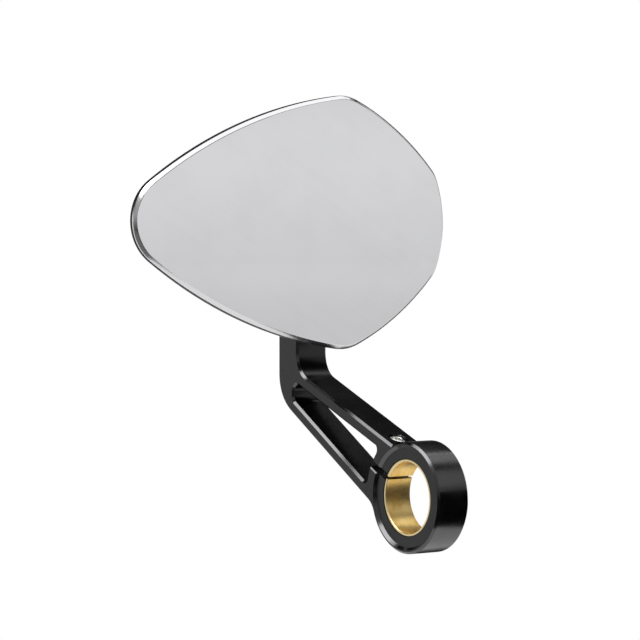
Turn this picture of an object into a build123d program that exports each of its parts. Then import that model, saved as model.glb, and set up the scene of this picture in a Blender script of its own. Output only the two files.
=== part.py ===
from build123d import *
import math
import os

# Bar-end mirror for a motorcycle, right-hand side, in millimetres.
# The origin is the centre of the handlebar clamp: +X points outboard along the bar, +Y forward, +Z up.

# Handlebar clamp
bar_diameter = 22.2
bar_clearance = 0.05
bush_wall = 1.0
bush_clearance = 0.05
bush_slit = 1.0
bush_chamfer = 0.2
bush_sink = 0.15
ring_wall = 5.3
recess_depth = 1.0
recess_rim = 1.15
recess_wall_angle = 40.0
slot_width = 2.3
slot_angle = 29.0
slot_lip_chamfer = 0.35

# Arm
arm_width = 12.0
edge_chamfer = 0.7
bar_thickness = 4.0
upper_slope = 22.3
upper_offset = 12.36
lower_slope = 31.2
lower_offset = 11.85
stub_rear = 58.3
stub_depth = 11.0
bend_wall = 8.6
inner_bend_radius = 8.5
outer_bend_radius = 14.0
ring_blend_radius = 7.0
opening_web = 2.7
opening_front_radius = 2.2
opening_rear_radius = 1.5

# Clamp screw, socket head
clamp_screw_diameter = 3.0
clamp_head_diameter = 5.5
clamp_head_height = 3.0
clamp_head_sink = 0.3
clamp_head_chamfer = 0.4
clamp_socket = 2.5
clamp_socket_depth = 1.5
clamp_screw_length = 14.0
clamp_screw_reach = 17.05
thread_clearance = 0.05
shank_clearance = 0.15
head_clearance = 0.2

# Ball joint behind the mirror
ball_height = 86.0
ball_diameter = 10.0
ball_rear_setback = 5.0
liner_thickness = 0.8
running_clearance = 0.05
eye_radius = 10.5
mouth_angle = 53.0
liner_mouth_angle = 45.0
liner_gap_angle = 12.0
ball_flat_angle = 20.0
plug_thread_diameter = 14.0
plug_flange_diameter = 17.0
plug_flange_thickness = 2.2
plug_chamfer = 0.55
plug_relief_diameter = 7.6
plug_seat_setback = 0.8
plug_pin_diameter = 1.8
plug_pin_circle = 12.4
plug_pin_depth = 1.4
lock_screw_diameter = 3.0
lock_screw_socket = 1.5
lock_screw_socket_depth = 1.2
stem_diameter = 4.5
stem_root_chamfer = 1.2
flange_diameter = 18.0
flange_thickness = 2.4
flange_chamfer = 0.5
flange_screw_circle = 12.6
flange_screw_count = 3
flange_screw_diameter = 2.5
flange_screw_head = 4.4
flange_screw_length = 5.0
flange_screw_socket = 1.5
flange_screw_socket_depth = 0.8

# Mirror head: outline seen from the rider, measured from the ball's upright axis
tip_reach = 86.8
top_corner_out = 3.1
top_corner_up = 41.5
side_corner_out = 39.2
side_corner_up = 16.5
long_edge_crown = 8.1
short_edge_crown = 2.6
side_edge_crown = 3.5
tip_radius = 15.5
top_radius = 15.0
side_radius = 10.8
mirror_front = 40.6
mirror_centre_out = -15.0
mirror_curvature = 1200.0
plate_thickness = 2.0
plate_bevel = 1.2
plate_proud = 1.65
rim_wall = 0.4
plate_gap = 0.05
pad_thickness = 0.8
pad_inset = 5.0
pad_gap = 0.3
bond_gap = 0.03
rim_height = 0.65
taper_height = 2.2
taper_angle = 52.0
boss_diameter = 24.0
boss_face = 47.6

# Derived sizes
bush_bore_radius = bar_diameter / 2 + bar_clearance
bush_radius = bush_bore_radius + bush_wall
ring_bore_radius = bush_radius + bush_clearance
ring_radius = ring_bore_radius + ring_wall
recess_radius = ring_radius - recess_rim
bush_length = arm_width - 2 * (recess_depth + bush_sink)
stub_front = stub_rear + stub_depth
opening_radius = ring_radius + opening_web
ball_radius = ball_diameter / 2
liner_inner = ball_radius + running_clearance
liner_outer = liner_inner + liner_thickness
socket_radius = liner_outer + running_clearance
plug_radius = plug_thread_diameter / 2
eye_front = stub_front
ball_centre = (0, stub_rear + ball_rear_setback, ball_height)
clamp_axis = (0, math.sin(math.radians(upper_slope)), -math.cos(math.radians(upper_slope)))

arm_plane = Plane.YZ
ball_plane = Plane(origin=ball_centre, x_dir=(1, 0, 0), z_dir=(0, 1, 0))


def upper_line(forward):
    """Height of the upper bar's top face at a distance forward of the bar."""
    slope = math.radians(upper_slope)
    return upper_offset / math.cos(slope) + forward * math.tan(slope)


def lower_line(forward):
    """Height of the lower bar's outer face at a distance forward of the bar."""
    slope = math.radians(lower_slope)
    return -lower_offset / math.cos(slope) + forward * math.tan(slope)


def nearest(vertices, forward, up):
    """The vertex of a sketch that lies nearest to a point of the arm's profile."""
    return min(vertices, key=lambda v: math.hypot(v.X - forward, v.Y - up))


def arm_profile():
    """Side view of stub, bend, two slanted bars and clamp ring, with the long opening between the bars."""
    upper_foot = -upper_offset * math.sin(math.radians(upper_slope))
    lower_foot = lower_offset * math.sin(math.radians(lower_slope))
    inner_corner = (stub_rear, upper_line(stub_rear))
    outer_corner = (stub_front, lower_line(stub_front))
    bars = make_face(Polyline(
        (stub_rear, ball_height),
        inner_corner,
        (upper_foot, upper_line(upper_foot)),
        (lower_foot, lower_line(lower_foot)),
        outer_corner,
        (stub_front, ball_height),
        close=True,
    ))
    bars = fillet(nearest(bars.vertices(), *inner_corner), inner_bend_radius)
    bars = fillet(nearest(bars.vertices(), *outer_corner), outer_bend_radius)
    profile = bars + Circle(ring_radius)
    along = math.sqrt(ring_radius**2 - lower_offset**2)
    blend = (
        lower_foot + along * math.cos(math.radians(lower_slope)),
        lower_line(lower_foot) + along * math.sin(math.radians(lower_slope)),
    )
    profile = fillet(nearest(profile.vertices(), *blend), ring_blend_radius)

    opening_front = stub_front - bend_wall
    upper_drop = bar_thickness / math.cos(math.radians(upper_slope))
    lower_rise = bar_thickness / math.cos(math.radians(lower_slope))
    opening = make_face(Polyline(
        (opening_front, upper_line(opening_front) - upper_drop),
        (0, upper_line(0) - upper_drop),
        (0, lower_line(0) + lower_rise),
        (opening_front, lower_line(opening_front) + lower_rise),
        close=True,
    ))
    opening = opening - Circle(opening_radius)
    by_forward = opening.vertices().sort_by(Axis.X)
    opening = fillet(by_forward[:2], opening_rear_radius)
    by_forward = opening.vertices().sort_by(Axis.X)
    opening = fillet(by_forward[-2:], opening_front_radius)
    return profile - opening


def clamp_screw_place(depth):
    """A point on the clamp screw's axis, measured down from the upper bar's top face."""
    slope = math.radians(upper_slope)
    forward = clamp_screw_reach * math.cos(slope) - upper_offset * math.sin(slope)
    up = clamp_screw_reach * math.sin(slope) + upper_offset * math.cos(slope)
    return Plane(
        origin=(0, forward + depth * clamp_axis[1], up + depth * clamp_axis[2]),
        x_dir=(1, 0, 0),
        z_dir=clamp_axis,
    )


def clamp_slot_depth():
    """Depth on the clamp screw's axis at which it crosses the middle of the ring's slot."""
    top = clamp_screw_place(0).origin
    across = (-math.sin(math.radians(slot_angle)), math.cos(math.radians(slot_angle)))
    height = top.Y * across[0] + top.Z * across[1]
    rate = clamp_axis[1] * across[0] + clamp_axis[2] * across[1]
    return -height / rate


def cylinder_along(place, radius, length):
    """A cylinder that starts on a plane or place and runs along its normal."""
    return place * extrude(Circle(radius), length)


def ball_zone(outer, inner, near_angle, far_angle):
    """A spherical shell round the ball, between two cones about the stem; angles start at the front."""
    shell = Sphere(outer) - Sphere(inner)
    reach = 2 * outer
    section = make_face(Polyline(
        (0, 0),
        (reach * math.sin(math.radians(near_angle)), reach * math.cos(math.radians(near_angle))),
        (2 * reach, reach * math.cos(math.radians((near_angle + far_angle) / 2))),
        (reach * math.sin(math.radians(far_angle)), reach * math.cos(math.radians(far_angle))),
        close=True,
    ))
    wedge = revolve(Plane.XZ * section, Axis.Z)
    return ball_plane * (shell & wedge)


def ring_recess(side):
    """Shallow dish in a side face of the ring, with a slanting wall; side is -1 inboard and 1 outboard."""
    face = side * arm_width / 2
    floor = side * (arm_width / 2 - recess_depth)
    floor_radius = recess_radius - recess_depth * math.tan(math.radians(recess_wall_angle))
    section = make_face(Polyline(
        (face, 0),
        (face, recess_radius),
        (floor, floor_radius),
        (floor, 0),
        close=True,
    ))
    return revolve(section, Axis.X)


def ring_slot():
    """Slot through the ring's wall into the opening, with its lips eased on both side faces."""
    half = arm_width / 2
    eased = half - slot_lip_chamfer
    gap = slot_width / 2
    wide_gap = gap + slot_lip_chamfer
    section = make_face(Polyline(
        (-half, wide_gap),
        (-eased, gap),
        (eased, gap),
        (half, wide_gap),
        (half, -wide_gap),
        (eased, -gap),
        (-eased, -gap),
        (-half, -wide_gap),
        close=True,
    ))
    slope = math.radians(slot_angle)
    across = Plane(origin=(0, 0, 0), x_dir=(1, 0, 0), z_dir=(0, math.cos(slope), math.sin(slope)))
    return extrude(across * section, opening_radius + opening_web)


def make_arm():
    """One milled piece: two bars with a split clamp ring and, behind the mirror, the ball joint's eye."""
    arm = extrude(arm_plane * arm_profile(), arm_width / 2, both=True)
    faces = arm.faces().filter_by(Axis.X).sort_by(Axis.X)
    arm = chamfer(faces[0].edges() + faces[-1].edges(), edge_chamfer)

    eye_plane = Plane(origin=(0, stub_rear, ball_height), x_dir=(1, 0, 0), z_dir=(0, 1, 0))
    eye = cylinder_along(eye_plane, eye_radius, stub_depth)
    eye = chamfer(eye.edges().filter_by(GeomType.CIRCLE), edge_chamfer)
    arm += eye
    arm -= ball_plane * Sphere(socket_radius)
    arm -= cylinder_along(ball_plane, plug_radius + thread_clearance, 2 * stub_depth)
    mouth_depth = 2 * ball_rear_setback
    mouth_radius = mouth_depth * math.tan(math.radians(mouth_angle))
    mouth = make_face(Polyline((0, 0), (mouth_radius, -mouth_depth), (0, -mouth_depth), close=True))
    arm -= ball_plane * revolve(Plane.XZ * mouth)
    arm -= cylinder_along(lock_screw_plane(0), lock_screw_diameter / 2 + thread_clearance, 2 * eye_radius)

    ring_axis = Plane.YZ.offset(-arm_width / 2)
    arm -= cylinder_along(ring_axis, ring_bore_radius, arm_width)
    arm -= ring_recess(-1)
    arm -= ring_recess(1)
    arm -= ring_slot()

    head_depth = clamp_head_sink + clamp_head_height
    slot_depth = clamp_slot_depth()
    thread_depth = head_depth + clamp_screw_length - slot_depth + thread_clearance
    head_radius = clamp_head_diameter / 2 + head_clearance
    shank_radius = clamp_screw_diameter / 2 + shank_clearance
    thread_radius = clamp_screw_diameter / 2 + thread_clearance
    head_start = clamp_screw_place(-clamp_head_height)
    arm -= cylinder_along(head_start, head_radius, clamp_head_height + head_depth)
    arm -= cylinder_along(clamp_screw_place(head_depth), shank_radius, slot_depth - head_depth)
    arm -= cylinder_along(clamp_screw_place(slot_depth), thread_radius, thread_depth)
    return arm


def lock_screw_plane(up):
    """Plane across the lock screw, half way along the plug's thread, at a height above the ball."""
    thread_start = ball_centre[1] + plug_seat_setback
    half_way = (thread_start + eye_front) / 2
    return Plane(origin=(0, half_way, ball_height + up), x_dir=(1, 0, 0), z_dir=(0, 0, 1))


def make_bar_bush():
    """Split brass bush between the ring and the handlebar."""
    base = Plane.YZ.offset(-bush_length / 2)
    bush = cylinder_along(base, bush_radius, bush_length)
    bush -= cylinder_along(base, bush_bore_radius, bush_length)
    rims = bush.edges().filter_by(GeomType.CIRCLE)
    bore_rims = rims.filter_by(lambda e: e.radius < bush_bore_radius + bush_wall / 2)
    bush = chamfer(bore_rims, bush_chamfer)
    slit = Pos(bush_radius, 0) * Rectangle(2 * bush_radius, bush_slit)
    return bush - extrude(arm_plane * (Rot(0, 0, slot_angle) * slit), bush_length, both=True)


def hexagon(width):
    """A hexagon by its width across flats."""
    return RegularPolygon(width / 2, 6, major_radius=False)


def make_bar_clamp_screw():
    """Socket head screw that draws the two lips of the ring together."""
    head_top = clamp_screw_place(clamp_head_sink)
    head = cylinder_along(head_top, clamp_head_diameter / 2, clamp_head_height)
    head = chamfer(head.edges().filter_by(GeomType.CIRCLE).sort_by(Axis.Z)[-1], clamp_head_chamfer)
    head -= extrude(head_top * hexagon(clamp_socket), clamp_socket_depth)
    shank = cylinder_along(clamp_screw_place(clamp_head_sink + clamp_head_height),
                           clamp_screw_diameter / 2, clamp_screw_length)
    return head + shank


def make_rear_liner():
    """Friction liner between the ball and the arm's socket, on the stem side."""
    return ball_zone(liner_outer, liner_inner, 90 + liner_gap_angle, 180 - liner_mouth_angle)


def make_front_liner():
    """Friction liner between the ball and the adjusting plug."""
    return ball_zone(liner_outer, liner_inner, liner_mouth_angle, 90 - liner_gap_angle)


def make_socket_plug():
    """Threaded plug that closes the eye from the front and sets the ball's preload."""
    body_plane = ball_plane.offset(plug_seat_setback)
    thread_length = eye_front - ball_centre[1] - plug_seat_setback
    body = cylinder_along(body_plane, plug_radius, thread_length)
    flange_plane = body_plane.offset(thread_length)
    flange = cylinder_along(flange_plane, plug_flange_diameter / 2, plug_flange_thickness)
    flange = chamfer(flange.edges().filter_by(GeomType.CIRCLE).sort_by(Axis.Y)[-1], plug_chamfer)
    plug = body + flange - ball_plane * Sphere(socket_radius)
    plug -= cylinder_along(ball_plane, plug_relief_diameter / 2, socket_radius)
    pin_floor = flange_plane.offset(plug_flange_thickness - plug_pin_depth)
    for place in PolarLocations(plug_pin_circle / 2, 2):
        plug -= cylinder_along(pin_floor * place, plug_pin_diameter / 2, plug_flange_thickness)
    return plug


def make_plug_lock_screw():
    """Grub screw in the top of the eye that locks the plug's thread."""
    foot = lock_screw_plane(plug_radius + bond_gap)
    length = eye_radius - plug_radius - edge_chamfer
    screw = cylinder_along(foot, lock_screw_diameter / 2, length)
    socket_floor = foot.offset(length - lock_screw_socket_depth)
    return screw - extrude(socket_floor * hexagon(lock_screw_socket), length)


def flange_screw_places():
    """Places of the flange screws round the stem, as seen along the stem."""
    return PolarLocations(flange_screw_circle / 2, flange_screw_count, start_angle=90)


def flange_screw_outline(clearance):
    """Countersunk screw in section: head on the flange's face, shank into the housing."""
    head = flange_screw_head / 2 + clearance
    shank = flange_screw_diameter / 2 + clearance
    return make_face(Polyline(
        (0, 0),
        (head, 0),
        (shank, -(head - shank)),
        (shank, -flange_screw_length - clearance),
        (0, -flange_screw_length - clearance),
        close=True,
    ))


def flange_screws(clearance):
    """The flange screws, or with a clearance the holes that take them."""
    face = Plane(origin=(0, boss_face + flange_thickness, ball_height), x_dir=(1, 0, 0), z_dir=(0, 1, 0))
    screw = revolve(Plane.XZ * flange_screw_outline(clearance))
    return [face * place * screw for place in flange_screw_places()]


def make_ball_stud():
    """Ball, neck and round flange, turned from one bar and screwed to the back of the housing."""
    face = Plane(origin=(0, boss_face, ball_height), x_dir=(1, 0, 0), z_dir=(0, 1, 0))
    flange = cylinder_along(face, flange_diameter / 2, flange_thickness)
    flange = chamfer(flange.edges().filter_by(GeomType.CIRCLE).sort_by(Axis.Y)[-1], flange_chamfer)
    stem = cylinder_along(face, stem_diameter / 2, ball_centre[1] - boss_face)
    stud = flange + stem
    rims = stud.edges().filter_by(GeomType.CIRCLE)
    root = rims.filter_by(lambda e: e.radius < stem_diameter).sort_by(Axis.Y)[0]
    stud = chamfer(root, stem_root_chamfer)
    stud += ball_plane * Sphere(ball_radius)
    flat = ball_radius * math.cos(math.radians(ball_flat_angle))
    stud -= cylinder_along(ball_plane.offset(flat), ball_radius, ball_radius)
    for hole in flange_screws(thread_clearance):
        stud -= hole
    return stud


def make_flange_screws():
    """Countersunk screws that hold the ball stud to the housing."""
    face = Plane(origin=(0, boss_face + flange_thickness, ball_height), x_dir=(1, 0, 0), z_dir=(0, 1, 0))
    socket = extrude(hexagon(flange_screw_socket), -flange_screw_socket_depth)
    screws = []
    for place, screw in zip(flange_screw_places(), flange_screws(0)):
        screws.append(screw - face * place * socket)
    return Compound(children=screws)


def crossing(first, second, corner):
    """Where two circles, each a centre and a radius, cross nearest to a corner."""
    apart = second[0] - first[0]
    along = (apart.length**2 + first[1]**2 - second[1]**2) / (2 * apart.length)
    aside = math.sqrt(first[1]**2 - along**2)
    heading = apart.normalized()
    foot = first[0] + heading * along
    sideways = Vector(-heading.Y, heading.X) * aside
    return min(foot + sideways, foot - sideways, key=lambda point: (point - corner).length)


def mirror_outline(inset):
    """Outline of the mirror head drawn in by an inset: five crowned edges that meet in rounded corners."""
    corners = [
        Vector(-tip_reach, 0),
        Vector(top_corner_out, top_corner_up),
        Vector(side_corner_out, side_corner_up),
        Vector(side_corner_out, -side_corner_up),
        Vector(top_corner_out, -top_corner_up),
    ]
    crowns = [long_edge_crown, short_edge_crown, side_edge_crown, short_edge_crown, long_edge_crown]
    radii = [tip_radius, top_radius, side_radius, side_radius, top_radius]
    circles = []
    crests = []
    for start, end, crown in zip(corners, corners[1:] + corners[:1], crowns):
        run = end - start
        middle = (start + end) / 2
        outward = Vector(-run.Y, run.X).normalized()
        radius = (run.length**2 / 4 + crown**2) / (2 * crown)
        circles.append((middle - outward * (radius - crown), radius - inset))
        crests.append(middle + outward * (crown - inset))
    ends = [crossing(before, after, corner) for before, after, corner
            in zip(circles[-1:] + circles[:-1], circles, corners)]
    face = make_face([ThreePointArc(start, crest, end) for start, crest, end
                      in zip(ends, crests, ends[1:] + ends[:1])])
    for corner, radius in zip(ends, radii):
        face = fillet(nearest(face.vertices(), corner.X, corner.Y), radius - inset)
    return face


def head_plane(forward):
    """The mirror head's outline plane at a distance forward of the bar; its normal points forward."""
    return Plane(origin=(0, forward, ball_height), x_dir=(-1, 0, 0), z_dir=(0, 1, 0))


def head_prism(inset, start, end):
    """The mirror outline, drawn in by an inset, as a prism from one distance forward to another."""
    outline = mirror(mirror_outline(inset), Plane.YZ)
    return extrude(head_plane(start) * outline, end - start)


def curved_front(setback):
    """Ball of the mirror's curvature whose skin lies a setback behind the mirror's front."""
    centre = (mirror_centre_out, mirror_front + mirror_curvature, ball_height)
    return Pos(*centre) * Sphere(mirror_curvature - setback)


def tip_setback():
    """How far the curved front lies behind the mirror's front at the inboard tip."""
    out = mirror_outline(0).bounding_box().min.X - mirror_centre_out
    return mirror_curvature - math.sqrt(mirror_curvature**2 - out**2)


def make_mirror_plate():
    """Convex mirror plate with a polished bevel round its edge."""
    plate = head_prism(rim_wall + plate_gap, mirror_front - plate_thickness, boss_face) & curved_front(0)
    front = plate.faces().filter_by(GeomType.SPHERE)[0]
    plate = chamfer(front.edges(), plate_bevel)
    return plate - curved_front(plate_thickness)


def make_bonding_pad():
    """Foam pad that bonds the plate to the floor of the housing."""
    prism = head_prism(pad_inset, mirror_front - plate_thickness, boss_face)
    pad = prism & curved_front(plate_thickness + bond_gap)
    return pad - curved_front(plate_thickness + pad_thickness)


def make_mirror_housing():
    """Milled back housing: thin rim and ledge round the plate, tapered back, round boss for the stud."""
    rim_back = mirror_front + tip_setback() + plate_proud + rim_height
    housing = head_prism(0, mirror_front - plate_thickness, rim_back)
    taper_inset = taper_height * math.tan(math.radians(taper_angle))
    rim_outline = head_plane(rim_back) * mirror(mirror_outline(0), Plane.YZ)
    back_outline = head_plane(rim_back + taper_height) * mirror(mirror_outline(taper_inset), Plane.YZ)
    housing += loft([rim_outline, back_outline], ruled=True)
    boss_plane = Plane(origin=(0, rim_back, ball_height), x_dir=(1, 0, 0), z_dir=(0, 1, 0))
    housing += cylinder_along(boss_plane, boss_diameter / 2, boss_face - rim_back)
    housing = housing & curved_front(plate_proud)
    plate_pocket = head_prism(rim_wall, mirror_front - plate_thickness, boss_face)
    housing -= plate_pocket - curved_front(plate_thickness + bond_gap)
    pad_pocket = head_prism(pad_inset - pad_gap, mirror_front - plate_thickness, boss_face)
    housing -= pad_pocket - curved_front(plate_thickness + pad_thickness + bond_gap)
    for hole in flange_screws(thread_clearance):
        housing -= hole
    return housing


nodes = {
    "arm": make_arm,
    "bar_bush": make_bar_bush,
    "bar_clamp_screw": make_bar_clamp_screw,
    "rear_liner": make_rear_liner,
    "front_liner": make_front_liner,
    "socket_plug": make_socket_plug,
    "plug_lock_screw": make_plug_lock_screw,
    "ball_stud": make_ball_stud,
    "flange_screws": make_flange_screws,
    "mirror_housing": make_mirror_housing,
    "bonding_pad": make_bonding_pad,
    "mirror_plate": make_mirror_plate,
}

os.makedirs("parts", exist_ok=True)
for name, make in nodes.items():
    export_step(make(), f"parts/{name}.step")
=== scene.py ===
import math

import bpy
import numpy as np
from mathutils import Matrix, Vector


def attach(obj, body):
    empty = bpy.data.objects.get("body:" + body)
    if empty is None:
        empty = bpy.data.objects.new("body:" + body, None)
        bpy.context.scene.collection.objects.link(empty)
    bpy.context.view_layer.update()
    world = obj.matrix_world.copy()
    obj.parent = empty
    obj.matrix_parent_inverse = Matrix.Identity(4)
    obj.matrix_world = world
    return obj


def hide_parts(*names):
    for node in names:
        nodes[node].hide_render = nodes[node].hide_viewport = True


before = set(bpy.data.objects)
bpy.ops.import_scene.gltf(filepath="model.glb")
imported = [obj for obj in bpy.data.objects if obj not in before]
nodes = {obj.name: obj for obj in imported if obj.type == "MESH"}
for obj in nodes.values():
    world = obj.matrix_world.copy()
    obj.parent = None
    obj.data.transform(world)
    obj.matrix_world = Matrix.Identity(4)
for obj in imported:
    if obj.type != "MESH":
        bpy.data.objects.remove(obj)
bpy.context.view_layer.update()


# Arm
# One piece milled from an aluminium bar and anodised black. Its split ring clamps the bar end, two
# slanted bars rise to an upright stub, and the eye at the top holds the ball joint of the mirror.

outboard = (1, 0, 0)
ring_radius, ring_to_bars = 0.0175, 0.0008
bar_slope = math.radians(26.8)
across_bars = (0, -math.sin(bar_slope), math.cos(bar_slope))
contour_pitch, ring_pitch, bar_pitch = 0.00045, 0.00040, 0.00035
contour_weight, side_weight, grain_weight, chamfer_level = 0.9, 0.45, 0.12, 0.5
grain_size, fine_detail, milled_patch, milled_depth = 0.00012, 2.0, 0.009, 0.000006
chamfer_turn, chamfer_span, contour_to_side = 0.68, (0.10, 0.16), (0.82, 0.95)
patch_tint, patch_gloss = (0.35, 0.7), (0.3, 0.7)
side_gloss, contour_gloss, chamfer_gloss = (0.24, 0.33), (0.20, 0.27), 0.17
anodised_specular = 0.30
anodised_black = (0.0045, 0.0045, 0.0049, 1.0)
anodised_worn = (0.0085, 0.0085, 0.0090, 1.0)
anodised_contour = (0.0300, 0.0300, 0.0310, 1.0)
# Painted sheen on the ring: a lighter copy of the contour's anodised colour.
ring_painted_sheen = (0.1100, 0.1100, 0.1130, 1.0)
anodised_edge = (0.0900, 0.0900, 0.0920, 1.0)


def finish(name):
    """A new material of one finish, with its node tree and its surface shader."""
    made = bpy.data.materials.new(name)
    made.use_nodes = True
    return made, made.node_tree, made.node_tree.nodes["Principled BSDF"]


def feed(tree, node, sockets):
    """Gives each named socket of a node a number, a colour, an output, or the first output of another node."""
    for socket, value in sockets.items():
        if isinstance(value, bpy.types.Node):
            tree.links.new(value.outputs[0], node.inputs[socket])
        elif isinstance(value, bpy.types.NodeSocket):
            tree.links.new(value, node.inputs[socket])
        else:
            node.inputs[socket].default_value = value


def add(tree, kind, sockets, **settings):
    """One node of a kind, with its settings made and its sockets fed."""
    made = tree.nodes.new("ShaderNode" + kind)
    for name, value in settings.items():
        setattr(made, name, value)
    feed(tree, made, sockets)
    return made


def place_of(tree, centre=(0, 0, 0)):
    """The place on the piece in metres, measured from a centre."""
    here = add(tree, "TexCoord", {}).outputs["Object"]
    return add(tree, "VectorMath", {0: here, 1: centre}, operation="SUBTRACT")


def along(tree, place, axis):
    """Distance along an axis: the dot product of the place and the axis."""
    return add(tree, "VectorMath", {0: place, 1: axis}, operation="DOT_PRODUCT").outputs["Value"]


def about(tree, place, axis):
    """Distance from an axis: the length of the cross product of the place and the axis."""
    across = add(tree, "VectorMath", {0: place, 1: axis}, operation="CROSS_PRODUCT")
    return add(tree, "VectorMath", {0: across}, operation="LENGTH").outputs["Value"]


def facing(tree, axis):
    """How far the surface faces along an axis: the dot product of its normal and the axis."""
    return along(tree, add(tree, "TexCoord", {}).outputs["Normal"], axis)


def tool_marks(tree, distance, pitch):
    """Uneven fine lines left by a cutter: noise of one distance alone, so each line runs across it."""
    return add(tree, "TexNoise", {"W": distance, "Scale": 1 / pitch, "Detail": 3.0, "Roughness": 0.65},
               noise_dimensions="1D")


def cloud(tree, place, size, detail=3.0):
    """Soft patches of about one size over the whole surface."""
    return add(tree, "TexNoise", {"Vector": place, "Scale": 1 / size, "Detail": detail})


def between(tree, value, span, to=(0.0, 1.0)):
    """A value carried from one range smoothly to another."""
    return add(tree, "MapRange", {"Value": value, "From Min": span[0], "From Max": span[1],
                                  "To Min": to[0], "To Max": to[1]}, interpolation_type="SMOOTHSTEP")


def product(tree, first, second):
    """Two numbers multiplied."""
    return add(tree, "Math", {0: first, 1: second}, operation="MULTIPLY")


def blend(tree, share, low, high):
    """One number going over into another by a share."""
    return add(tree, "Mix", {"Factor": share, 2: low, 3: high}, data_type="FLOAT")


def tint(tree, share, low, high):
    """One colour going over into another by a share."""
    return add(tree, "Mix", {"Factor": share, 6: low, 7: high}, data_type="RGBA").outputs[2]


def sum_of(tree, *terms):
    """The sum of several heights, each with its own weight."""
    total = None
    for height, weight in terms:
        scaled = product(tree, height, weight)
        total = scaled if total is None else add(tree, "Math", {0: total, 1: scaled}, operation="ADD")
    return total


def relief(tree, surface, height, depth):
    """Lets a height stand proud of the surface by a depth in metres."""
    feed(tree, surface, {"Normal": add(tree, "Bump", {"Height": height, "Distance": depth, "Strength": 1.0})})


def turn_to_side(tree):
    """The normal's part along the bar, unsigned: 1 on a side face, 0 on the contour, about 0.7 on a chamfer."""
    return add(tree, "Math", {0: facing(tree, outboard)}, operation="ABSOLUTE")


def on_chamfer(tree, sideways):
    """1 on the milled chamfers, which lie half way between a side face and a contour face, and 0 elsewhere."""
    away = add(tree, "Math", {0: sideways, 1: chamfer_turn}, operation="SUBTRACT")
    return between(tree, add(tree, "Math", {0: away}, operation="ABSOLUTE"), chamfer_span, (1.0, 0.0))


def anodised_colour(tree, patches):
    """Black anodising, a little worn in soft patches."""
    return tint(tree, between(tree, patches, patch_tint), anodised_black, anodised_worn)


def wear(piece, material):
    """Gives a CAD piece its finish."""
    nodes[piece].data.materials.clear()
    nodes[piece].data.materials.append(material)


milled_black, tree, surface = finish("milled_black_anodising")
place = place_of(tree)
from_bore = about(tree, place, outboard)
on_bars = between(tree, from_bore, (ring_radius, ring_radius + ring_to_bars))
contour_marks = tool_marks(tree, along(tree, place, outboard), contour_pitch)
ring_marks = tool_marks(tree, from_bore, ring_pitch)
bar_marks = tool_marks(tree, along(tree, place, across_bars), bar_pitch)
side_marks = blend(tree, on_bars, ring_marks, bar_marks)
grain = cloud(tree, place, grain_size, fine_detail)
patches = cloud(tree, place, milled_patch)
sideways = turn_to_side(tree)
chamfer = on_chamfer(tree, sideways)
cut = between(tree, sideways, contour_to_side, (1.0, 0.0))
marks = sum_of(tree, (contour_marks, contour_weight), (side_marks, side_weight), (grain, grain_weight))
relief(tree, surface, blend(tree, chamfer, marks, chamfer_level), milled_depth)
# Painted sheen: the ring's outer face takes a lighter copy of the contour's anodised colour, so it reflects
# more than the bars.
contour_colour = tint(tree, on_bars, ring_painted_sheen, anodised_contour)
cut_colour = tint(tree, chamfer, contour_colour, anodised_edge)
cut_gloss = blend(tree, chamfer, between(tree, patches, patch_gloss, contour_gloss), chamfer_gloss)
feed(tree, surface, {
    "Base Color": tint(tree, cut, anodised_colour(tree, patches), cut_colour),
    "Metallic": cut,
    "Roughness": blend(tree, cut, between(tree, patches, patch_gloss, side_gloss), cut_gloss),
    "Specular IOR Level": anodised_specular,
})
wear("arm", milled_black)


# Bar bush
# A thin turned brass sleeve with a slit, pressed into the ring. It fills the gap between the ring and
# the bar and closes with the ring when the screw is drawn up. The rim of its end face where it meets
# the ring is painted dark, a painted shade in the gap.

bush_radius, joint_shade_width = 0.01215, 0.00036
bore_pitch, end_pitch, turned_depth = 0.00055, 0.00030, 0.000004
bore_weight, end_weight = 1.0, 0.6
tarnish_size, tarnish_weight = 0.006, 0.55
fleck_size, fleck_weight = 0.0012, 0.25
line_weight = 0.35
dull_tint, dull_gloss, brass_gloss = (0.42, 0.78), (0.4, 0.8), (0.30, 0.42)
bore_to_end = (0.45, 0.75)
brass_bright = (0.930, 0.690, 0.280, 1.0)
brass_dull = (0.760, 0.480, 0.120, 1.0)
brass_cut = (0.740, 0.605, 0.330, 1.0)
painted_joint_shade = (0.010, 0.008, 0.006, 1.0)

turned_brass, tree, surface = finish("turned_brass")
place = place_of(tree)
from_axis = about(tree, place, outboard)
bore_marks = tool_marks(tree, along(tree, place, outboard), bore_pitch)
end_marks = tool_marks(tree, from_axis, end_pitch)
tarnish = cloud(tree, place, tarnish_size)
flecks = cloud(tree, place, fleck_size)
dullness = sum_of(tree, (tarnish, tarnish_weight), (flecks, fleck_weight), (bore_marks, line_weight))
bore_colour = tint(tree, between(tree, dullness, dull_tint), brass_bright, brass_dull)
# Painted shade: the outer edge of the end face is darkened where it meets the ring, as the gap would shade it.
in_joint_shade = between(tree, from_axis, (bush_radius - joint_shade_width, bush_radius - joint_shade_width / 2))
end_colour = tint(tree, in_joint_shade, brass_cut, painted_joint_shade)
on_end = between(tree, turn_to_side(tree), bore_to_end)
feed(tree, surface, {
    "Base Color": tint(tree, on_end, bore_colour, end_colour),
    "Metallic": 1.0,
    "Roughness": between(tree, dullness, dull_gloss, brass_gloss),
})
relief(tree, surface, sum_of(tree, (bore_marks, bore_weight), (end_marks, end_weight)), turned_depth)
wear("bar_bush", turned_brass)


# Bar clamp screw
# A stainless socket head screw, turned and rolled, sunk into the upper bar. It crosses the slot and
# pulls the two lips of the ring together.

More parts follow.
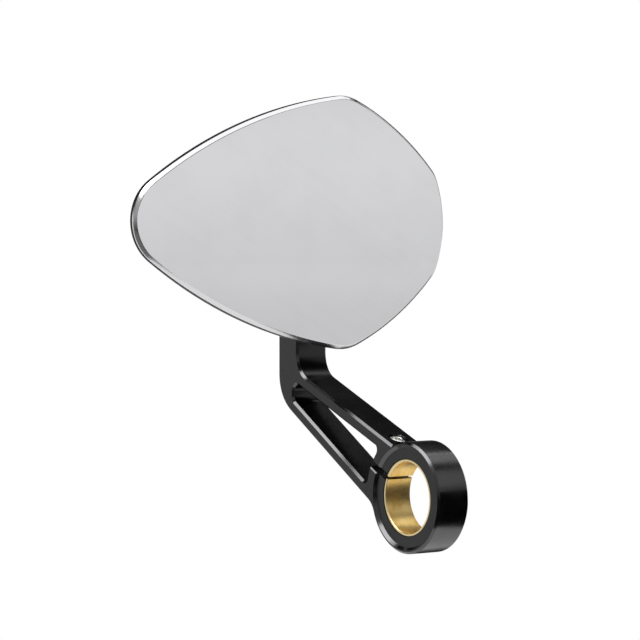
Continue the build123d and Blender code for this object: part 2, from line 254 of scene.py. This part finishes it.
screw_tilt = math.radians(22.3)
screw_axis = (0.0, math.sin(screw_tilt), -math.cos(screw_tilt))
screw_forward = (0.0, math.cos(screw_tilt), math.sin(screw_tilt))
screw_top = (0.0, 0.011199, 0.017628)
head_radius, head_height, head_dome = 0.00275, 0.0030, 0.00085
socket_across, socket_depth = 0.0025, 0.0015
socket_mouth, mouth_slope = 0.00152, 0.7
shank_radius, shank_length = 0.0015, 0.0140
thread_pitch, thread_depth, tip_taper = 0.0005, 0.00027, 0.0004
crease = math.radians(35)
head_pitch, shank_pitch, steel_depth = 0.00022, 0.00030, 0.000002
face_weight, shank_weight = 0.8, 1.0
steel_patch, steel_gloss = 0.0022, (0.24, 0.32)
steel_bright = (0.930, 0.920, 0.890, 1.0)
steel_grey = (0.830, 0.820, 0.795, 1.0)


def clamp_screw_surface(columns=96, dome_rows=14, rows_per_turn=8):
    """The screw as a grid, one parameter round its axis and one from the middle of the socket over the head
    and down the shank. The socket is a hexagon, r = across / 2 / cos(turn from the flat), and its mouth is a
    cone. The head is domed by part of an ellipse, r = head * sin(sweep), and the thread is a ridge,
    r = shank - depth * abs(2 * frac(way / pitch - turn) - 1)."""
    turn = np.arange(columns) / columns
    hexagon = socket_across / 2 / np.cos((6 * turn % 1 - 0.5) * np.pi / 3)
    ring = np.ones(columns)
    mouth = mouth_slope * (socket_mouth - hexagon)
    sweep = np.linspace(np.arcsin(socket_mouth / head_radius), np.pi / 2, dome_rows)
    way = np.arange(0, shank_length, thread_pitch / rows_per_turn)[1:, None]
    thread = thread_depth * np.abs(2 * ((way / thread_pitch - turn) % 1) - 1)
    near_tip = tip_taper * np.clip(1 - (shank_length - way) / tip_taper, 0, 1)
    radius = np.concatenate([
        np.outer([0.4, 0.8, 1, 1, 1], hexagon),
        np.outer(head_radius * np.sin(sweep), ring),
        np.outer([head_radius, head_radius, shank_radius], ring),
        shank_radius - np.maximum(thread, near_tip),
    ])
    depth = np.concatenate([
        np.outer([socket_depth, socket_depth, socket_depth, socket_depth / 2], ring),
        mouth[None],
        np.outer(head_dome * (np.cos(sweep[0]) - np.cos(sweep)), ring),
        np.outer([head_height / 2, head_height, head_height], ring),
        head_height + way * ring,
    ])
    angle = 2 * np.pi * turn
    outward = np.cos(angle)[:, None] * np.array(screw_forward) + np.sin(angle)[:, None] * np.array(outboard)
    return np.array(screw_top) + depth[:, :, None] * np.array(screw_axis) + radius[:, :, None] * outward


def skin(name, grid):
    """A closed skin over a grid whose rows run round the piece; a fan closes the first row and the last."""
    rows, columns, _ = grid.shape
    index = np.arange(rows * columns).reshape(rows, columns)
    after = np.roll(index, -1, axis=1)
    quads = np.stack([index[:-1], index[1:], after[1:], after[:-1]], axis=2).reshape(-1, 4)
    first, last = rows * columns, rows * columns + 1
    front_fan = np.stack([np.full(columns, first), index[0], after[0]], axis=1)
    back_fan = np.stack([np.full(columns, last), after[-1], index[-1]], axis=1)
    middles = np.stack([grid[0].mean(axis=0), grid[-1].mean(axis=0)])
    places = np.concatenate([grid.reshape(-1, 3), middles])
    mesh = bpy.data.meshes.new(name)
    mesh.from_pydata(places.tolist(), [], quads.tolist() + front_fan.tolist() + back_fan.tolist())
    mesh.polygons.foreach_set("use_smooth", np.ones(len(mesh.polygons), dtype=bool))
    mesh.set_sharp_from_angle(angle=crease)
    mesh.update()
    piece = bpy.data.objects.new(name, mesh)
    bpy.context.scene.collection.objects.link(piece)
    return piece


def turned_steel(name, axis, centre, face_pitch=head_pitch, side_pitch=shank_pitch):
    """Turned stainless steel: rings about an axis on the faces, lines round the sides, soft grey patches."""
    material, tree, surface = finish(name)
    place = place_of(tree, centre)
    face_marks = tool_marks(tree, about(tree, place, axis), face_pitch)
    side_marks = tool_marks(tree, along(tree, place, axis), side_pitch)
    patches = cloud(tree, place, steel_patch)
    feed(tree, surface, {
        "Base Color": tint(tree, between(tree, patches, patch_tint), steel_bright, steel_grey),
        "Metallic": 1.0,
        "Roughness": between(tree, patches, patch_gloss, steel_gloss),
    })
    relief(tree, surface, sum_of(tree, (face_marks, face_weight), (side_marks, shank_weight)), steel_depth)
    return material


screw = skin("bar_clamp_screw_turned", clamp_screw_surface())
screw.data.materials.append(turned_steel("clamp_screw_steel", screw_axis, screw_top))
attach(screw, "arm_body")
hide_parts("bar_clamp_screw")


# Ball liners
# Two moulded rings of a pale bearing plastic round the ball. They give the friction that holds the
# mirror where it is set.

ball_centre = (0.0, 0.0633, 0.0860)
stem_axis = (0.0, 1.0, 0.0)
flow_size, flow_span, liner_gloss = 0.0016, (0.3, 0.7), (0.42, 0.55)
speck_size, speck_detail, speck_depth = 0.00020, 1.0, 0.000010
liner_dull = (0.780, 0.765, 0.720, 1.0)
liner_pale = (0.860, 0.850, 0.810, 1.0)

bearing_plastic, tree, surface = finish("bearing_plastic")
place = place_of(tree, ball_centre)
flow = cloud(tree, place, flow_size)
feed(tree, surface, {
    "Base Color": tint(tree, between(tree, flow, flow_span), liner_dull, liner_pale),
    "Roughness": between(tree, flow, flow_span, liner_gloss),
})
relief(tree, surface, cloud(tree, place, speck_size, speck_detail), speck_depth)
wear("rear_liner", bearing_plastic)
wear("front_liner", bearing_plastic)


# Ball stud and its screws
# Ball, neck and flange are turned from one stainless bar. Three countersunk screws hold the flange to
# the boss on the back of the housing.

flange_pitch, neck_pitch = 0.0009, 0.0012

for piece, steel in (("ball_stud", "ball_stud_steel"), ("flange_screws", "flange_screw_steel")):
    wear(piece, turned_steel(steel, stem_axis, ball_centre, flange_pitch, neck_pitch))


# Socket plug and its lock screw
# A turned and black anodised aluminium plug closes the eye and loads the ball. A small grub screw
# from above keeps it from turning.

plug_face_pitch, plug_rim_pitch, plug_depth = 0.00035, 0.00030, 0.000006
plug_mark_weight, plug_grain_weight = 0.8, 0.25
plug_patch, plug_gloss = 0.006, (0.28, 0.38)
lock_screw_axis = (0, 0, 1)
lock_screw_centre = (0.0, 0.0667, 0.0947)

turned_black, tree, surface = finish("turned_black_anodising")
place = place_of(tree, ball_centre)
face_marks = tool_marks(tree, about(tree, place, stem_axis), plug_face_pitch)
rim_marks = tool_marks(tree, along(tree, place, stem_axis), plug_rim_pitch)
grain = cloud(tree, place, grain_size, fine_detail)
patches = cloud(tree, place, plug_patch)
marks = sum_of(tree, (face_marks, plug_mark_weight), (rim_marks, plug_mark_weight), (grain, plug_grain_weight))
feed(tree, surface, {
    "Base Color": anodised_colour(tree, patches),
    "Roughness": between(tree, patches, patch_gloss, plug_gloss),
    "Specular IOR Level": anodised_specular,
})
relief(tree, surface, marks, plug_depth)
wear("socket_plug", turned_black)
wear("plug_lock_screw", turned_steel("lock_screw_steel", lock_screw_axis, lock_screw_centre))


# Mirror housing
# Milled from aluminium plate, bead blasted and anodised black. A thin rim stands round the mirror
# plate, the back tapers away from it, and a round boss takes the ball stud.

bead_size, bead_depth = 0.00022, 0.000018
blasted_patch, blasted_gloss = 0.016, (0.42, 0.52)

blasted_black, tree, surface = finish("blasted_black_anodising")
place = place_of(tree)
patches = cloud(tree, place, blasted_patch)
feed(tree, surface, {
    "Base Color": anodised_colour(tree, patches),
    "Roughness": between(tree, patches, patch_gloss, blasted_gloss),
    "Specular IOR Level": anodised_specular,
})
relief(tree, surface, cloud(tree, place, bead_size, fine_detail), bead_depth)
wear("mirror_housing", blasted_black)


# Bonding pad
# A die-cut pad of closed-cell foam with glue on both faces. It lies between the plate and the housing
# and holds the plate in.

cell_size, cell_span, cell_depth = 0.0004, (0.1, 0.6), 0.00005
foam_gloss = 0.9
foam_dark = (0.030, 0.030, 0.031, 1.0)
foam_pale = (0.060, 0.060, 0.062, 1.0)

pad_foam, tree, surface = finish("pad_foam")
cells = add(tree, "TexVoronoi", {"Vector": place_of(tree), "Scale": 1 / cell_size})
feed(tree, surface, {
    "Base Color": tint(tree, between(tree, cells, cell_span), foam_pale, foam_dark),
    "Roughness": foam_gloss,
})
relief(tree, surface, cells, cell_depth)
wear("bonding_pad", pad_foam)


# Mirror plate
# Convex glass, chromed on its face, with a ground and polished bevel all round. It is glued into the
# housing and stands a little proud of the rim.

tip = (-0.0868, 0.0)
top_corner = (0.0031, 0.0415)
side_corner = (0.0392, 0.0165)
edge_crowns = (0.0081, 0.0026, 0.0035, 0.0026, 0.0081)
corner_radii = (0.0155, 0.0150, 0.0108, 0.0108, 0.0150)
edge_inset, foot_inset, foot_setback = 0.00015, 0.00045, 0.00160
mirror_front, mirror_centre_out, mirror_curvature = 0.0406, -0.015, 1.2
plate_thickness, plate_bevel = 0.0020, 0.0012
bevel_turns = (0.0, 38.0, 50.0, 90.0)
bevel_lengths = (0.24, 1.30, 0.14)
rider = (0, -1, 0)
bevel_to_face = (0.80, 0.98)
haze_size, haze_weight, haze_tint, haze_gloss = 0.020, 0.8, (0.35, 0.7), (0.35, 0.75)
wipe_axis, wipe_pitch, wipe_weight = (0.5, 0.0, 0.866), 0.0030, 0.2
face_gloss, bevel_gloss = (0.02, 0.05), 0.22
chrome_clear = (0.670, 0.670, 0.684, 1.0)
chrome_hazed = (0.645, 0.645, 0.656, 1.0)


def mirror_outline(per_edge, per_corner):
    """Points and outward directions round the mirror head: five arcs, each through two corners with its crown
    between them, and at every corner a smaller arc that touches both neighbours from inside."""
    low = lambda corner: (corner[0], -corner[1])
    corners = np.array([tip, top_corner, side_corner, low(side_corner), low(top_corner)])
    ends = np.roll(corners, -1, axis=0)
    crowns = np.array(edge_crowns)[:, None]
    run = ends - corners
    chord = np.linalg.norm(run, axis=1, keepdims=True)
    outward = np.stack([-run[:, 1], run[:, 0]], axis=1) / chord
    arc_radius = (chord**2 / 4 + crowns**2) / (2 * crowns)
    arc_centre = (corners + ends) / 2 - outward * (arc_radius - crowns)

    radius = np.array(corner_radii)[:, None]
    before_centre, before_radius = np.roll(arc_centre, 1, axis=0), np.roll(arc_radius, 1, axis=0)
    gap = arc_centre - before_centre
    apart = np.linalg.norm(gap, axis=1, keepdims=True)
    reach_before, reach_after = before_radius - radius, arc_radius - radius
    foot = (apart**2 + reach_before**2 - reach_after**2) / (2 * apart)
    rise = np.sqrt(reach_before**2 - foot**2)
    aside = np.stack([-gap[:, 1], gap[:, 0]], axis=1) / apart
    candidates = before_centre + foot * gap / apart + np.array([1, -1])[:, None, None] * rise * aside
    miss = np.linalg.norm(candidates - corners, axis=2)
    corner_centre = np.where((miss[0] < miss[1])[:, None], candidates[0], candidates[1])

    heading = lambda towards: np.arctan2(towards[:, 1], towards[:, 0])
    shortest = lambda angle: (angle + np.pi) % (2 * np.pi) - np.pi
    shares = lambda count: (np.arange(count) / count)[None, :]
    join = lambda corner, edge: np.concatenate([corner, edge], axis=1)
    turn_in = heading(corner_centre - before_centre)
    turn_out = heading(corner_centre - arc_centre)
    next_in = np.roll(turn_in, -1)
    corner_angle = turn_in[:, None] + shortest(turn_out - turn_in)[:, None] * shares(per_corner)
    edge_angle = turn_out[:, None] + shortest(next_in - turn_out)[:, None] * shares(per_edge)
    angle = join(corner_angle, edge_angle)
    centre = join(np.repeat(corner_centre[:, None], per_corner, axis=1),
                  np.repeat(arc_centre[:, None], per_edge, axis=1))
    size = join(np.repeat(radius, per_corner, axis=1), np.repeat(arc_radius, per_edge, axis=1))
    direction = np.stack([np.cos(angle), np.sin(angle)], axis=2)
    points = centre + direction * size[:, :, None]
    return points.reshape(-1, 2), direction.reshape(-1, 2)


def bevel_profile(steps=(8, 12, 6)):
    """Inset and setback of the polished edge, from the face outwards: a line whose slope turns from flat over
    a short round to the slightly crowned bevel, and over a second round to the side of the plate."""
    slope = np.concatenate([np.linspace(low, high, count, endpoint=False) + (high - low) / count / 2
                            for low, high, count in zip(bevel_turns, bevel_turns[1:], steps)])
    length = np.concatenate([np.full(count, part / count) for part, count in zip(bevel_lengths, steps)])
    out = np.concatenate([[0], np.cumsum(length * np.cos(np.radians(slope)))])
    down = np.concatenate([[0], np.cumsum(length * np.sin(np.radians(slope)))])
    size = plate_bevel / out[-1]
    return edge_inset + plate_bevel - out * size, down * size


def mirror_plate_surface(rings_on_face=40, back_step=4, per_edge=56, per_corner=24):
    """The plate as a grid, one parameter round the outline and one from the middle of the face over the bevel
    and the side to the middle of the back. A row on the face or back is the outline drawn in by an inset and
    scaled towards the middle; its depth is the mirror's sphere plus a setback."""
    points, direction = mirror_outline(per_edge, per_corner)
    middle = np.array([mirror_centre_out, 0.0])
    face = np.linspace(0.02, 0.996, rings_on_face)
    back = face[::-back_step]
    bevel_inset, bevel_setback = bevel_profile()
    side_inset = [edge_inset, foot_inset, foot_inset]
    side_setback = [foot_setback, foot_setback, plate_thickness]
    inset = np.concatenate([np.full(len(face), bevel_inset[0]), bevel_inset,
                            side_inset, np.full(len(back), foot_inset)])
    setback = np.concatenate([np.zeros(len(face)), bevel_setback,
                              side_setback, np.full(len(back), plate_thickness)])
    scale = np.concatenate([face, np.ones(len(bevel_inset) + len(side_inset)), back])
    outline = points[None] - inset[:, None, None] * direction[None]
    flat = middle + (outline - middle) * scale[:, None, None]
    from_middle = np.sum((flat - middle) ** 2, axis=2)
    depth = mirror_front + setback[:, None] + mirror_curvature - np.sqrt(mirror_curvature**2 - from_middle)
    return np.stack([flat[:, :, 0], depth, ball_centre[2] + flat[:, :, 1]], axis=2)


plate = skin("mirror_plate_chromed", mirror_plate_surface())

chromed_mirror, tree, surface = finish("chromed_mirror")
place = place_of(tree)
haze = cloud(tree, place, haze_size)
wipe = tool_marks(tree, along(tree, place, wipe_axis), wipe_pitch)
film = sum_of(tree, (haze, haze_weight), (wipe, wipe_weight))
on_bevel = between(tree, facing(tree, rider), bevel_to_face, (1.0, 0.0))
feed(tree, surface, {
    "Base Color": tint(tree, between(tree, film, haze_tint), chrome_clear, chrome_hazed),
    "Metallic": 1.0,
    "Roughness": blend(tree, on_bevel, between(tree, haze, haze_gloss, face_gloss), bevel_gloss),
})
plate.data.materials.append(chromed_mirror)
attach(plate, "mirror_head")
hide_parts("mirror_plate")


# Studio
# A white paper floor under the part, a pale surround that darkens overhead, and soft lamps. The camera sees
# floor and surround as white and the floor still takes the shadow. Reflections see the floor with painted
# light, brighter near the part and a little darker further off, the surround as it lights the part, and the
# dark cards that give black metal its contrast.

upward = (0, 0, 1)
floor_height, floor_size = -0.090, 12.0
paper_colour, paper_gloss = (0.90, 0.90, 0.90, 1.0), 0.9
far_span, far_painted_shade = (0.8, 5.0), (0.82, 0.90)
near_span, near_painted_light = (0.15, 0.60), (1.40, 1.0)
shadow_span, shadow_share = (0.12, 0.32), (0.75, 1.0)
overhead_span, overhead_tone = (0.08, 0.34), (1.0, 0.05)
horizon_span, horizon_tone = (-0.05, 0.065), (0.87, 0.985)
rear_way, rear_span, rear_tone = (0.55, 0.835, 0.0), (0.78, 0.93), (1.0, 0.15)
lamp_height = 0.66
card_span = (-0.06, 0.20)
card_fade = 0.97

scene = bpy.context.scene
scene.view_settings.view_transform = "Standard"


def sheet(name, corners, material):
    """A flat sheet of four corners that belongs to the studio."""
    mesh = bpy.data.meshes.new(name)
    mesh.from_pydata(corners, [], [(0, 1, 2, 3)])
    mesh.materials.append(material)
    made = bpy.data.objects.new(name, mesh)
    scene.collection.objects.link(made)
    return made


def show(tree, shader):
    """Makes a shader the surface of its material."""
    feed(tree, tree.nodes["Material Output"], {"Surface": shader})


def seen_directly(tree):
    """1 for camera, glossy and transmitted rays, 0 for the light that falls on surfaces."""
    rays = add(tree, "LightPath", {})
    shown = rays.outputs["Is Camera Ray"]
    for kind in ("Is Glossy Ray", "Is Transmission Ray"):
        shown = add(tree, "Math", {0: shown, 1: rays.outputs[kind]}, operation="MAXIMUM")
    return shown


paper, tree, surface = finish("floor_paper")
feed(tree, surface, {"Base Color": paper_colour, "Roughness": paper_gloss, "Specular IOR Level": 0.0})
from_part = about(tree, place_of(tree), upward)
# Painted light on the floor as reflections see it: brighter near the part, a little darker further off.
painted_floor_in_mirror = product(tree, between(tree, from_part, far_span, far_painted_shade),
                   between(tree, from_part, near_span, near_painted_light))
in_mirror = add(tree, "LightPath", {}).outputs["Is Glossy Ray"]
white = add(tree, "Emission", {"Color": (1, 1, 1, 1), "Strength": blend(tree, in_mirror, 1.0, painted_floor_in_mirror)})
share = product(tree, seen_directly(tree), between(tree, from_part, shadow_span, shadow_share))
show(tree, add(tree, "MixShader", {0: share, 1: surface, 2: white}))
half = floor_size / 2
sheet("floor", [(x, y, floor_height) for x, y in ((-half, -half), (half, -half), (half, half), (-half, half))],
      paper)

world = bpy.data.worlds.new("studio")
scene.world = world
world.use_nodes = True
tree = world.node_tree
heading = add(tree, "TexCoord", {}).outputs["Generated"]
height = along(tree, heading, upward)
surround = product(tree, between(tree, height, overhead_span, overhead_tone),
                   between(tree, height, horizon_span, horizon_tone))
surround = product(tree, surround, between(tree, along(tree, heading, rear_way), rear_span, rear_tone))
by_camera = add(tree, "LightPath", {}).outputs["Is Camera Ray"]
feed(tree, tree.nodes["Background"], {"Color": blend(tree, by_camera, surround, 1.0)})


def soft_lamp(name, place, towards, width, depth, power):
    """A rectangular softbox at a place, facing a point."""
    lamp = bpy.data.lights.new(name, "AREA")
    lamp.shape = "RECTANGLE"
    lamp.size, lamp.size_y, lamp.energy = width, depth, power
    box = bpy.data.objects.new(name, lamp)
    turned = (Vector(place) - Vector(towards)).to_track_quat("Z", "Y")
    box.matrix_world = Matrix.Translation(place) @ turned.to_matrix().to_4x4()
    scene.collection.objects.link(box)


def ceiling_lamp(name, x, y, width, depth, power):
    """A softbox under the ceiling that faces straight down."""
    soft_lamp(name, (x, y, lamp_height), (x, y, 0.0), width, depth, power)


ceiling_lamp("left_softbox", -0.38, -0.055, 0.36, 0.73, 4.9)
ceiling_lamp("top_softbox", 0.11, 0.06, 0.62, 0.78, 2.1)
ceiling_lamp("right_softbox", 0.48, -0.04, 0.16, 0.24, 0.15)
ceiling_lamp("bend_strip", 0.45, 0.125, 0.16, 0.05, 0.09)
soft_lamp("front_softbox", (0.58, -0.60, 0.505), (0.0, 0.0, 0.0), 0.44, 0.46, 0.33)
ceiling_lamp("far_right_softbox", 1.28, 0.065, 0.92, 0.53, 1.8)


def card_paint(name, low, high, reach=10.0):
    """A flat tone that changes with height over the part of a card that the mirror's tip sees. Reflections
    from further off than the reach look through the card."""
    material, tree, _ = finish(name)
    height = along(tree, place_of(tree), upward)
    tone = tint(tree, between(tree, height, card_span), (low, low, low, 1.0), (high, high, high, 1.0))
    flat = add(tree, "Emission", {"Color": tone, "Strength": 1.0})
    distance = add(tree, "LightPath", {}).outputs["Ray Length"]
    near = between(tree, distance, (card_fade * reach, reach), (1.0, 0.0))
    show(tree, add(tree, "MixShader", {0: near, 1: add(tree, "BsdfTransparent", {}), 2: flat}))
    return material


def dark_card(name, paint, *corners):
    """A flat card that only reflections see: the camera doesn't, and it throws no shadow."""
    card = sheet(name, corners, paint)
    card.visible_camera = False
    card.visible_diffuse = False
    card.visible_shadow = False


black_card = card_paint("black_card_paint", 0.015, 0.42)
grey_card = card_paint("grey_card_paint", 0.17, 0.17)
ring_black = card_paint("ring_card_paint", 0.005, 0.005, 0.092)
dark_card("left_card", black_card,
          (-0.62, -0.14, -0.09), (-0.39, -0.49, -0.09), (-0.39, -0.49, 0.60), (-0.62, -0.14, 0.60))
dark_card("left_mat", grey_card,
          (-0.15, 0.04, -0.089), (-0.06, -0.075, -0.089), (-0.35, -0.72, -0.089), (-0.75, -0.10, -0.089))
dark_card("slot_mat", black_card,
          (-0.09, -0.04, -0.088), (-0.06, -0.07, -0.088), (-0.60, -0.53, -0.088), (-0.65, -0.45, -0.088))
dark_card("rear_mat", black_card,
          (0.085, 0.035, -0.089), (0.60, 0.247, -0.089), (1.00, 1.10, -0.089), (0.05, 0.12, -0.089))
dark_card("ring_card", ring_black,
          (0.0159, -0.0672, -0.0640), (0.0698, -0.0292, -0.0640),
          (0.0633, -0.0338, 0.0140), (0.0110, -0.0707, 0.0140))


# Camera
# The photograph's view: nearly level with the part, from the inboard rear, with a long lens. Its focal
# length is written in pixels of a frame 640 pixels wide.

view_turn, view_rise = math.radians(-35.25), math.radians(1.44)
focal_pixels, frame_pixels, sensor = 2652, 640, 36.0
aside, above, away = -0.03102, 0.05523, 0.82748

right = Vector((math.cos(view_turn), math.sin(view_turn), 0.0))
back = Vector((math.sin(view_turn) * math.cos(view_rise),
               -math.cos(view_turn) * math.cos(view_rise), math.sin(view_rise)))
up = back.cross(right)
lens = bpy.data.cameras.new("camera")
lens.sensor_width = sensor
lens.lens = focal_pixels / frame_pixels * sensor
lens.clip_start, lens.clip_end = 0.01, 100.0
camera = bpy.data.objects.new("camera", lens)
stand = right * aside + up * above + back * away
camera.matrix_world = Matrix.Translation(stand) @ Matrix((right, up, back)).transposed().to_4x4()
scene.collection.objects.link(camera)
scene.camera = camera
